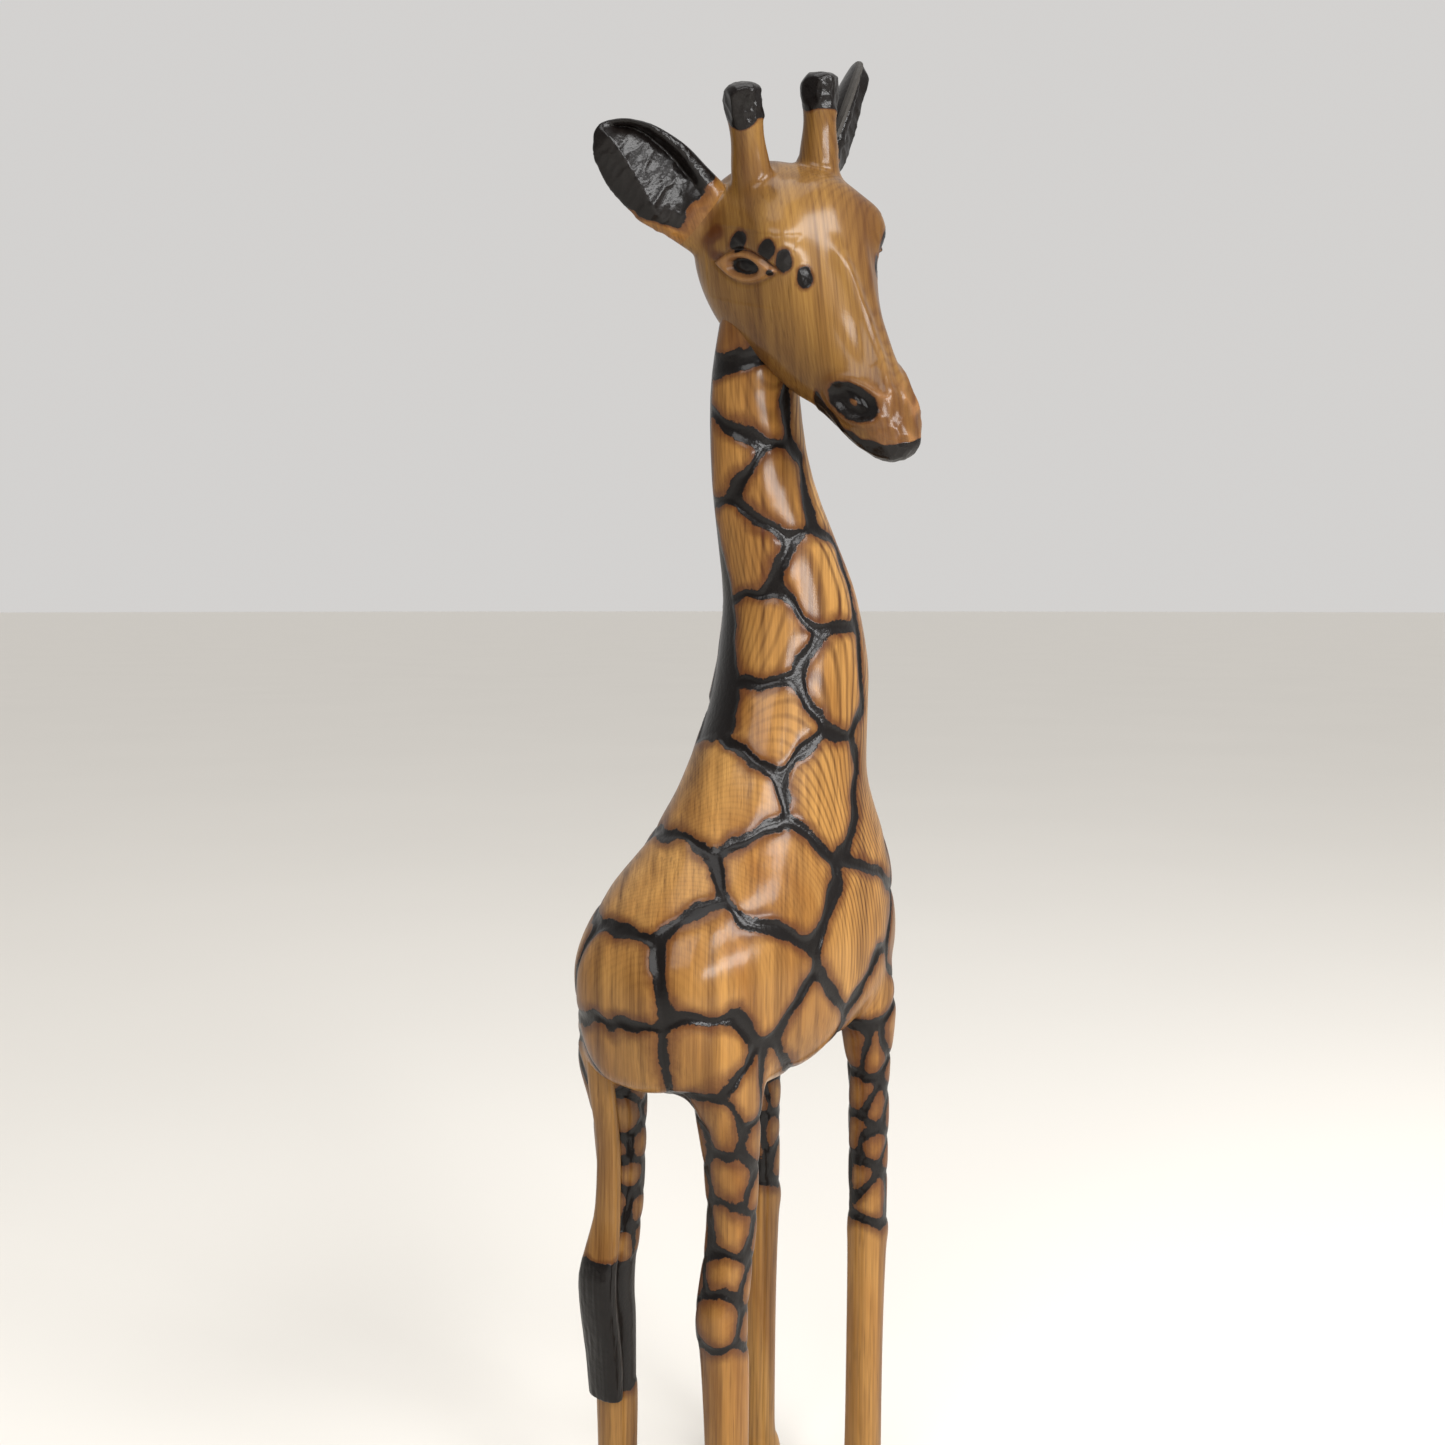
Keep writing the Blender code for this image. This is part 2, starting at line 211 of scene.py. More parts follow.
def finishPiece(mesh, name, material, node):
    writePoints(mesh, readPoints(mesh) + carvingShift * mm)
    mesh.materials.clear()
    mesh.materials.append(material)
    piece = bpy.data.objects.new(name, mesh)
    bpy.context.scene.collection.objects.link(piece)
    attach(piece, "root")
    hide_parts(node)
    print(name, len(mesh.polygons), "faces")
    return piece


# materials

def linear(hexColor):
    parts = [int(hexColor[k:k + 2], 16) / 255 for k in (1, 3, 5)]
    return tuple(c / 12.92 if c <= 0.04045 else ((c + 0.055) / 1.055) ** 2.4 for c in parts) + (1,)


def addNode(tree, kind, links=None, inputs=None, **settings):
    node = tree.nodes.new("ShaderNode" + kind)
    for name, value in settings.items():
        setattr(node, name, value)
    for name, value in (inputs or {}).items():
        node.inputs[name].default_value = value
    for name, source in (links or {}).items():
        tree.links.new(source, node.inputs[name])
    return node


carvedWood = {
    "paleWood": "#ae8247", "warmWood": "#825522", "darkGrain": "#462810", "pore": "#3a220e",
    # the scorch colour is real scorch round the burnt lines and also painted shade on the top of the neck
    # under the head
    "scorchAndShade": "#44200e", "char": "#080606", "charGloss": "#120d0b", "freshCut": "#a9794f",
    # metres and radians, then millimetres, then the strength of the rings behind and in front
    "ringAxis": (0.091, -0.002, 0.0), "ringTilt": (0.18, 0.2, 0.0),
    "ringSpacing": 1.1, "fibreWidth": 0.6, "poreWidth": 0.35, "haloWidth": 3.6, "ragged": 1.4,
    "rings": (0.08, 0.50), "layerTurn": 51,
    "roughness": 0.42, "coat": 0.38, "coatRoughness": 0.18,
}


def lacqueredHardwood(name, wood, turn=(0.03, -0.05, 0.0)):
    # hardwood billet with its grain upright: fine fibre lines and pores, rings cut at a slant by the
    # carving, lines burnt black with a hot iron, and a satin-gloss lacquer over all of it
    material = bpy.data.materials.new(name)
    material.use_nodes = True
    tree = material.node_tree
    tree.nodes.clear()

    def blend(share, first, second):
        # the float sockets of a colour mix come first, so its colours are set by place
        mix = addNode(tree, "Mix", {"Factor": share}, data_type="RGBA")
        for socket, colour in ((6, first), (7, second)):
            if isinstance(colour, str):
                mix.inputs[socket].default_value = linear(colour)
            else:
                tree.links.new(colour, mix.inputs[socket])
        return mix.outputs[2]

    place = addNode(tree, "TexCoord").outputs["Object"]
    axis = wood["ringAxis"]
    pith = addNode(tree, "Mapping", {"Vector": place},
                   {"Location": (-axis[0], -axis[1], 0), "Rotation": wood["ringTilt"]}).outputs[0]
    long = addNode(tree, "Mapping", {"Vector": pith}, {"Scale": (1, 1, 0.16)}).outputs[0]
    # the fibres stand upright in thin layers
    billet = addNode(tree, "Mapping", {"Vector": place},
                     {"Rotation": (turn[0], turn[1], math.radians(wood["layerTurn"]))}).outputs[0]
    # the growth wanders a few millimetres over each hand's breadth
    wander = addNode(tree, "TexNoise", {"Vector": long}, {"Scale": 22, "Detail": 1.5, "Roughness": 0.5})
    centred = addNode(tree, "VectorMath", {0: wander.outputs["Color"]}, {1: (0.5, 0.5, 0.5)},
                      operation="SUBTRACT")
    pushed = addNode(tree, "VectorMath", {0: centred.outputs[0]}, {"Scale": 0.0045}, operation="SCALE")
    bent = addNode(tree, "VectorMath", {0: long, 1: pushed.outputs[0]}, operation="ADD").outputs[0]
    rings = addNode(tree, "TexWave", {"Vector": bent},
                    {"Scale": 0.314 / (wood["ringSpacing"] * mm), "Distortion": 0.5, "Detail": 2.0,
                     "Detail Scale": 0.5, "Detail Roughness": 0.6},
                    wave_type="RINGS", rings_direction="Z", wave_profile="SIN").outputs["Fac"]
    lateWood = addNode(tree, "ValToRGB", {"Fac": rings})
    lateWood.color_ramp.elements[0].position = 0.45
    lateWood.color_ramp.elements[0].color = (0, 0, 0, 1)
    lateWood.color_ramp.elements[1].position = 1.0
    lateWood.color_ramp.elements[1].color = (1, 1, 1, 1)
    strands = addNode(tree, "Mapping", {"Vector": billet}, {"Scale": (1, 0.1, 0.018)}).outputs[0]
    fibre = addNode(tree, "TexNoise", {"Vector": strands},
                    {"Scale": 1 / (wood["fibreWidth"] * 1.6 * mm), "Detail": 4.0,
                     "Roughness": 0.7}).outputs["Fac"]
    broad = addNode(tree, "TexNoise", {"Vector": strands},
                    {"Scale": 240, "Detail": 2.0, "Roughness": 0.5}).outputs["Fac"]
    dashes = addNode(tree, "Mapping", {"Vector": billet}, {"Scale": (1, 0.25, 0.035)}).outputs[0]
    poreNoise = addNode(tree, "TexNoise", {"Vector": dashes},
                        {"Scale": 1 / (wood["poreWidth"] * 1.7 * mm), "Detail": 1.0,
                         "Roughness": 0.5}).outputs["Fac"]
    pores = addNode(tree, "MapRange", {"Value": poreNoise},
                    {"From Min": 0.60, "From Max": 0.72, "To Min": 0.0, "To Max": 1.0}).outputs[0]
    patches = addNode(tree, "TexNoise", {"Vector": long},
                      {"Scale": 46, "Detail": 3.0, "Roughness": 0.55}).outputs["Fac"]
    patchShare = addNode(tree, "MapRange", {"Value": patches},
                         {"From Min": 0.32, "From Max": 0.68, "To Min": 0.0, "To Max": 1.0}).outputs[0]
    ground = blend(patchShare, wood["paleWood"], wood["warmWood"])
    grain = addNode(tree, "MapRange", {"Value": fibre},
                    {"From Min": 0.36, "From Max": 0.70, "To Min": 0.0, "To Max": 0.50}).outputs[0]
    bands = addNode(tree, "MapRange", {"Value": broad},
                    {"From Min": 0.45, "From Max": 0.72, "To Min": 0.0, "To Max": 0.42}).outputs[0]
    # the rings show where the carver cut along them, in the breast and the front of the neck
    where = addNode(tree, "SeparateXYZ", {"Vector": place}).outputs
    forward = addNode(tree, "MapRange", {"Value": where["X"]},
                      {"From Min": -0.008, "From Max": 0.010,
                       "To Min": wood["rings"][0], "To Max": wood["rings"][1]}).outputs[0]
    aboveLegs = addNode(tree, "MapRange", {"Value": where["Z"]},
                        {"From Min": 0.15, "From Max": 0.2}).outputs[0]
    ringDepth = addNode(tree, "Math", {0: forward, 1: aboveLegs}, operation="MULTIPLY").outputs[0]
    ringShare = addNode(tree, "Math", {0: lateWood.outputs["Color"], 1: ringDepth},
                        operation="MULTIPLY").outputs[0]
    darker = addNode(tree, "Math", {0: grain, 1: ringShare}, operation="ADD").outputs[0]
    darkest = addNode(tree, "Math", {0: darker, 1: bands}, operation="ADD", use_clamp=True).outputs[0]

    grained = blend(darkest, ground, wood["darkGrain"])
    poreShare = addNode(tree, "Math", {0: pores}, {1: 0.3}, operation="MULTIPLY").outputs[0]
    bare = blend(poreShare, grained, wood["pore"])

    # burnt lines: distance from the edge of the burning in millimetres, made ragged by the iron
    distance = addNode(tree, "Attribute", attribute_name="burnDistance").outputs["Fac"]
    ragged = addNode(tree, "TexNoise", {"Vector": place},
                     {"Scale": 300, "Detail": 4.0, "Roughness": 0.7}).outputs["Fac"]
    raggedMm = addNode(tree, "Math", {0: ragged}, {1: 2 * wood["ragged"], 2: -wood["ragged"]},
                       operation="MULTIPLY_ADD").outputs[0]
    edge = addNode(tree, "Math", {0: distance, 1: raggedMm}, operation="ADD").outputs[0]
    charred = addNode(tree, "MapRange", {"Value": edge},
                      {"From Min": -0.18, "From Max": 0.16, "To Min": 1.0, "To Max": 0.0},
                      interpolation_type="SMOOTHSTEP").outputs[0]
    halo = addNode(tree, "MapRange", {"Value": edge},
                   {"From Min": 0.0, "From Max": wood["haloWidth"], "To Min": 0.78, "To Max": 0.0},
                   interpolation_type="SMOOTHSTEP").outputs[0]
    # this attribute brings real scorch and, at the top of the neck, painted shade under the head
    scorchAndShade = addNode(tree, "Attribute", attribute_name="scorchAndShade").outputs["Fac"]
    darkening = addNode(tree, "Math", {0: halo, 1: scorchAndShade}, operation="MAXIMUM", use_clamp=True).outputs[0]
    scorchedAndShaded = blend(darkening, bare, wood["scorchAndShade"])
    freshCut = addNode(tree, "Attribute", attribute_name="freshCut").outputs["Fac"]
    scorchedAndShaded = blend(freshCut, scorchedAndShaded, wood["freshCut"])
    charTone = addNode(tree, "TexNoise", {"Vector": place}, {"Scale": 260, "Detail": 4.0}).outputs["Fac"]
    char = blend(charTone, wood["char"], wood["charGloss"])
    colour = blend(charred, scorchedAndShaded, char)

    rough = addNode(tree, "MapRange", {"Value": fibre},
                    {"From Min": 0.3, "From Max": 0.7, "To Min": wood["roughness"] - 0.05,
                     "To Max": wood["roughness"] + 0.08}).outputs[0]
    relief = addNode(tree, "Math", {0: fibre, 1: poreShare}, operation="SUBTRACT").outputs[0]
    bump = addNode(tree, "Bump", {"Height": relief}, {"Strength": 0.35, "Distance": 0.00012}).outputs[0]
    charBump = addNode(tree, "TexNoise", {"Vector": place},
                       {"Scale": 700, "Detail": 3.0, "Roughness": 0.6}).outputs["Fac"]
    charHeight = addNode(tree, "Math", {0: charBump, 1: charred}, operation="MULTIPLY").outputs[0]
    bump = addNode(tree, "Bump", {"Height": charHeight, "Normal": bump},
                   {"Strength": 0.5, "Distance": 0.0003}).outputs[0]
    coatBump = addNode(tree, "Bump", {"Height": charHeight},
                       {"Strength": 0.35, "Distance": 0.0003}).outputs[0]
    shader = addNode(tree, "BsdfPrincipled", {"Base Color": colour, "Roughness": rough, "Normal": bump,
                                              "Coat Normal": coatBump},
                     {"Metallic": 0.0, "IOR": 1.16, "Coat Weight": wood["coat"],
                      "Coat Roughness": wood["coatRoughness"], "Coat IOR": 1.48})
    addNode(tree, "OutputMaterial", {"Surface": shader.outputs[0]})
    return material


bodyFinish = lacqueredHardwood("lacqueredHardwood", carvedWood)
headWood = {
    **carvedWood, "paleWood": "#876432", "warmWood": "#5f3f1c", "haloWidth": 1.0, "ragged": 0.6,
    "ringAxis": (0.012, 0.040, 0.0), "ringTilt": (0.1, 0.04, 0.0), "rings": (0.06, 0.22),
}
headFinish = lacqueredHardwood("lacqueredHardwoodHead", headWood, (0.10, 0.04, 0.0))
earFinish = lacqueredHardwood("burntHardwood", {**carvedWood, "coatRoughness": 0.2}, (0.2, 0.3, 0.0))
print("materials made")


# body: trunk, neck and legs carved in one run, then parted at the glued joints

body = {
    "voxel": 0.65 * mm, "bellyCut": 145.5, "neckJoint": 240.0,
    "legX": (35.4, -31.2), "legY": 21.2,
    "trunkRings": [
        # height, middle x, middle y, half length, half width, squareness
        (150, -16, 0, 14, 10, 2), (151.5, -17, 0, 27, 21, 2.1), (155, -16, 0, 35.5, 27, 2.3),
        (160, -11, 0, 42, 30, 2.5), (166, -6, 0, 48.5, 32, 2.6), (173, -1.5, 0, 54, 33.5, 2.6),
        (182, 0, 0, 56, 34, 2.6), (190, 1.5, 0, 56, 34, 2.5), (199, 4, 0, 53.5, 33, 2.4),
        (207, 8, 0, 50, 31.5, 2.3), (217, 12.4, 0, 44, 28, 2.2), (226, 14.5, 0, 38, 26, 2.1),
        (235, 16.5, 0, 33.5, 24.5, 2), (245, 19.3, 0, 30.5, 23.5, 2), (257, 22.5, 0, 28.3, 22.4, 2),
        (270, 24.4, 0, 26.6, 21.4, 2), (288, 23.6, 0.5, 23.2, 19.5, 2), (302, 20, 1.5, 21, 17.8, 2),
        (324, 13, 3, 17.3, 14.6, 2), (348, 9.4, 3, 15, 13, 2), (365, 8, 0, 14, 12.5, 2),
        (378, 8, -3, 13, 12, 2), (388, 8, -5, 9, 9, 2)],
    "frontLegRings": [
        # height, offset forward, half length, half width
        (0, -0.4, 8, 7.2), (6, -0.4, 7.8, 7), (11, -0.7, 6.9, 6.3), (14, -0.8, 5.9, 5.6),
        (30, -0.5, 5.6, 5.4), (60, 0, 5.6, 5.4), (85, 0.8, 5.9, 5.7), (93, 1.3, 6.6, 6.1),
        (101, 1, 6.1, 5.9), (120, 1.2, 6.2, 6), (140, 1.2, 6.8, 6.5), (154, 0.6, 9, 7.6),
        (166, -0.6, 10.8, 8.8), (176, -1.5, 9.5, 8), (184, -2, 6.5, 6)],
    "rearLegRings": [
        (0, -0.6, 8, 7.2), (6, -0.6, 7.8, 7), (11, -0.9, 6.9, 6.4), (14, -1, 5.9, 5.6),
        (30, -0.8, 5.6, 5.4), (52, -0.8, 6, 5.8), (76, -1.6, 6.6, 6.4), (84, -2.9, 7.4, 6.6),
        (91, -3.1, 7.8, 6.8), (99, -1.6, 7.2, 6.8), (114, 1.2, 6.6, 7), (130, 1.2, 6.9, 7.8),
        (143, 0.2, 8.6, 9), (152, -1, 11, 9.8), (162, -1.4, 12, 9.6), (173, -0.5, 10.5, 8),
        (181, 1, 7, 6)],
    # each spot is one or more places given as height and the angle round the body from the chest
    "bodySpots": [
        [(371, -148), (371, 150), (371, 60), (371, -40)], [(344, -148)], [(331, 179)],
        [(320, -126)], [(304, -173)], [(294, -106)], [(276.5, -153)],
        [(265, -101)], [(253, -145)], [(234, -99)],
        [(344, -40), (320, -45), (294, -25), (265, -37), (242, -45), (225, -52), (213, -62)],
        [(234, -163), (237, 165)], [(208, -178), (208, 155)], [(209, -118)],
        [(188, -141), (184, -117)], [(184, -174), (184, 168)], [(187, -80), (199, -65)],
        [(167, -94)], [(163, -172), (163, 172)], [(152, -120), (152, 60), (155, 0)],
        # the left side and the chest, like the right but given one by one
        [(338, 30)], [(325, 85)], [(312, 28)], [(299, 88)], [(285, 25)], [(272, 92)], [(257, 22)],
        [(246, 78)], [(230, 110)], [(231, 30)], [(210, 112)], [(212, 68)], [(208, 20)], [(207, -25)],
        [(189, 138), (184, 118)], [(188, 82)], [(186, 42)], [(190, 5)], [(185, -38)],
        [(166, 98)], [(165, 30), (163, 0)], [(165, -30)]],
    "rearLegSpots": [
        [(164, -165)], [(145, -158)], [(151.5, -94)], [(138.5, -62)], [(130, -138)], [(126, -50)],
        [(115.5, -136)], [(112, -45)], [(103, -130)], [(99, -40)], [(92.5, -145)], [(88, -30)],
        [(152, -25)], [(146, 60)], [(140, 120)], [(132, 20)], [(127, 85)], [(118, 25)], [(113, 90)],
        [(104, 30)], [(98, 88)], [(90, 60)],
        [(75, -140), (75, -30), (75, 60), (62, -140), (62, 60), (48, 0), (30, 0), (12, 0)]],
    "frontLegSpots": [
        [(168, -128)], [(151, 178)], [(150, -125)], [(137, -178)], [(133, -118)], [(124.5, 178)],
        [(120.5, -118)], [(111.5, -178)], [(105.5, -115)], [(154, -60)], [(143, -50)], [(129, -45)],
        [(116, -50)], [(106, -40)], [(158, 60)], [(146, 20)], [(140, 90)], [(133, 30)], [(126, 95)],
        [(119, 25)], [(113, 100)], [(106, 30)],
        [(88, -140), (88, -40), (88, 60), (88, 140), (70, 0), (50, 0), (30, 0), (12, 0)]],
    "innerLegSpots": [
        [(166, -100)], [(152, -135)], [(148, -75)], [(139, -120)], [(141, -30)], [(130, -150)],
        [(131, -80)], [(121, -115)], [(120, -30)], [(111, -150)], [(110, -75)], [(101, -120)],
        [(100, -40)], [(150, 30)], [(146, 110)], [(134, 60)], [(128, 130)], [(119, 50)],
        [(113, 110)], [(103, 50)], [(97, 120)],
        [(76, -140), (76, -30), (76, 60), (62, -140), (62, 60), (40, 0), (20, 0)]],
    # the mane: height, angle of its middle, half its width in degrees
    "mane": [(247, 163, 20), (250, 164, 26), (262, 160, 27), (276, 150, 26), (290, 146, 24),
             (302, 138, 21), (318, 132, 18), (345, 136, 19), (372, 130, 22)],
    # the collar's height and half its width; burnt grooves and the rounding of the spots
    "collar": (356.5, 3.2), "lineHalfWidth": 1.85,
    "grooveDepth": 0.6, "grooveWidth": 1.35, "dome": 0.42, "domeWidth": 2.6,
    "tuftBand": (76.5, 20.5),
}


def bodyMesh(body):
    bm = bmesh.new()
    loft(bm, [np.stack([x + a, y + b, np.full(len(a), z)], 1) * mm
              for z, x, y, halfA, halfB, n in smoothRows(body["trunkRings"], 3)
              for a, b in [oval(64, halfA, halfB, n)]])
    for rows, x in ((body["frontLegRings"], body["legX"][0]), (body["rearLegRings"], body["legX"][1])):
        for side in (1, -1):
            loft(bm, [np.stack([x + forward + a, side * body["legY"] + b, np.full(len(a), z)], 1) * mm
                      for z, forward, halfA, halfB in smoothRows(rows, 3)
                      for a, b in [oval(32, halfA, halfB, 2.4)]])
    return remeshed(meshOf(bm, "bodyBlank"), body["voxel"])


def bodyPlace(height, angle):
    z, x, y, halfA, halfB, n = rowAt(body["trunkRings"], height)
    turn = math.radians(angle)
    return (x + halfA * math.cos(turn), y + halfB * math.sin(turn), z)


def legPlace(rows, legX, side, height, angle):
    z, forward, halfA, halfB = rowAt(rows, height)
    turn = math.radians(angle)
    return (legX + forward + halfA * math.cos(turn), side * body["legY"] + halfB * math.sin(turn), z)


def allSpots(body):
    spots = [[bodyPlace(*seed) for seed in spot] for spot in body["bodySpots"]]
    front, rear = body["frontLegRings"], body["rearLegRings"]
    frontX, rearX = body["legX"]
    for spot in body["rearLegSpots"]:
        spots.append([legPlace(rear, rearX, -1, *seed) for seed in spot])
    for spot in body["innerLegSpots"]:
        spots.append([legPlace(rear, rearX, 1, *seed) for seed in spot])
    for spot in body["frontLegSpots"]:
        spots.append([legPlace(front, frontX, -1, *seed) for seed in spot])
        spots.append([legPlace(front, frontX, 1, z + (2.5 if z > 100 else 0), 12 - angle)
                      for z, angle in spot])
    return spots


def burnBody(points, body):
    bent = points + np.stack([ripple(points, 11, k) for k in (1, 2, 3)], 1) * 0.75
    onLeg = step(168, 150, points[:, 2])
    width = body["lineHalfWidth"] * (1 - 0.36 * onLeg) * (1 + 0.26 * ripple(points, 11, 4))
    borders = spotEdges(bent, allSpots(body), 0.9)
    lines = borders - width
    table = np.array(body["trunkRings"], float)
    z = points[:, 2]
    ring = [np.interp(z, table[:, 0], table[:, k]) for k in range(6)]
    angle = np.degrees(np.arctan2((points[:, 1] - ring[2]) / ring[4],
                                  (points[:, 0] - ring[1]) / ring[3]))
    mane = np.array(body["mane"], float)
    off = (angle - np.interp(z, mane[:, 0], mane[:, 1]) + 180) % 360 - 180
    inMane = (np.abs(off) - np.interp(z, mane[:, 0], mane[:, 2])) * np.radians(1) * ring[4]
    inMane = np.maximum(inMane, (mane[0, 0] + 0.06 * off - z) * 0.8) + 0.4 * ripple(points, 9, 5)
    collar = np.abs(z - body["collar"][0] + 2.2 * ripple(points, 24, 6)) - body["collar"][1]
    burnt = np.minimum(np.minimum(lines, inMane), collar)
    middle, half = body["tuftBand"]
    tuft = np.abs(z - middle) - half + 1.2 * ripple(points, 8, 7)
    onRearLeft = (points[:, 0] < 0) & (points[:, 1] > 5) & (z < 120)
    burnt = np.where(onRearLeft, np.minimum(burnt, tuft), burnt)
    return burnt


def shapeBody(mesh, body):
    points = readPoints(mesh) / mm
    z = points[:, 2]
    # the legs run into the trunk without a crease
    soft = step(186, 170, z) * step(128, 146, z)
    points = smoothed(mesh, points, 0.5 + 0 * z, 6)
    points = smoothed(mesh, points, 0.6 * soft, 70)
    writePoints(mesh, points * mm)
    burnt = burnBody(points, body)
    groove = np.exp(-(np.maximum(burnt + body["lineHalfWidth"], 0) / body["grooveWidth"]) ** 2)
    swell = 1 - np.exp(-np.maximum(burnt, 0) / body["domeWidth"])
    lift = body["dome"] * (swell - 1) - body["grooveDepth"] * groove
    lift *= 1 - 0.45 * step(150, 130, points[:, 2])
    points = points + readNormals(mesh) * lift[:, None]
    writePoints(mesh, points * mm)
    writeFloat(mesh, "burnDistance", burnt)
    # painted shade under the head: the top of the neck above 350 mm is darkened with the scorch colour; the
    # extra darkening beside the burnt lines is real scorch
    shade = 0.55 * step(350, 362, points[:, 2])
    writeFloat(mesh, "scorchAndShade", shade + 0.35 * step(1.2, -0.6, swell * 2))
    return mesh


whole = shapeBody(bodyMesh(body), body)
print("body carved", len(whole.polygons))
down, up = (0, 0, -1), (0, 0, 1)
bellyCut = (0, 0, body["bellyCut"] * mm)
neckCut = (0, 0, body["neckJoint"] * mm)
finishPiece(keepSide(whole, "torsoCarved", [(bellyCut, down), (neckCut, up)]),
            "torsoCarved", bodyFinish, "torso")
finishPiece(keepSide(whole, "neckCarved", [(neckCut, down)]),
            "neckCarved", bodyFinish, "neck")
legs = keepSide(whole, "legsCarved", [(bellyCut, up)])
for end, alongX in (("Front", (-1, 0, 0)), ("Rear", (1, 0, 0))):
    for hand, acrossY in (("Left", (0, -1, 0)), ("Right", (0, 1, 0))):
        name = "leg" + end + hand + "Carved"
        mesh = keepSide(legs, name, [((0, 0, 0), alongX), ((0, 0, 0), acrossY)])
        finishPiece(mesh, name, bodyFinish, f"leg_{end.lower()}_{hand.lower()}")


# tail: a plain strip from the rump with a burnt tuft, lying on the left hind leg

tail = {
    "voxel": 0.45 * mm, "tuftTop": 97.0, "rootNotch": 161.0,
    "rings": [
        # height, middle x, middle y, half thickness, half width
        (165, -41.5, 17, 2.6, 3.2), (159, -42.2, 17.8, 3, 4), (148, -40.4, 18.6, 3, 4.2),
        (130, -37.4, 19, 2.6, 4), (112, -37.6, 19.2, 2.8, 4.2), (103, -38.8, 19.6, 3.3, 5.2),
        (92, -41.2, 20, 3.8, 6.4), (80, -40.4, 20.2, 3.8, 6.4), (67, -38.4, 20.4, 3.6, 6.3),
        (54, -37.4, 20.6, 3.2, 5.9)],
}


def tailMesh(tail):
    bm = bmesh.new()
    loft(bm, [np.stack([x + a, y + b, np.full(len(a), z)], 1) * mm
              for z, x, y, halfA, halfB in smoothRows(tail["rings"], 3)
              for a, b in [oval(28, halfA, halfB, 2.4)]])
    mesh = remeshed(meshOf(bm, "tailCarved"), tail["voxel"])
    points = readPoints(mesh) / mm
    points = smoothed(mesh, points, np.full(len(points), 0.5), 8)
    writePoints(mesh, points * mm)
    z = points[:, 2]
    burnt = z - tail["tuftTop"] + 1.2 * ripple(points, 9, 11)
    burnt = np.minimum(burnt, tail["rootNotch"] - z + 0.9 * ripple(points, 5, 12))
    # hairs of the tuft, cut as fine upright strokes
    hairs = ripple(points * (1, 1, 0.08), 1.3, 13) * step(100, 94, z)
    points = points + readNormals(mesh) * (0.05 * hairs)[:, None]
    writePoints(mesh, points * mm)
    writeFloat(mesh, "burnDistance", burnt)
    writeFloat(mesh, "scorchAndShade", 0.25 * step(112, 98, z))
    return mesh


finishPiece(tailMesh(tail), "tailCarved", bodyFinish, "tail")


# head: skull, brows, horns and ears carved together so that their roots flare, then parted

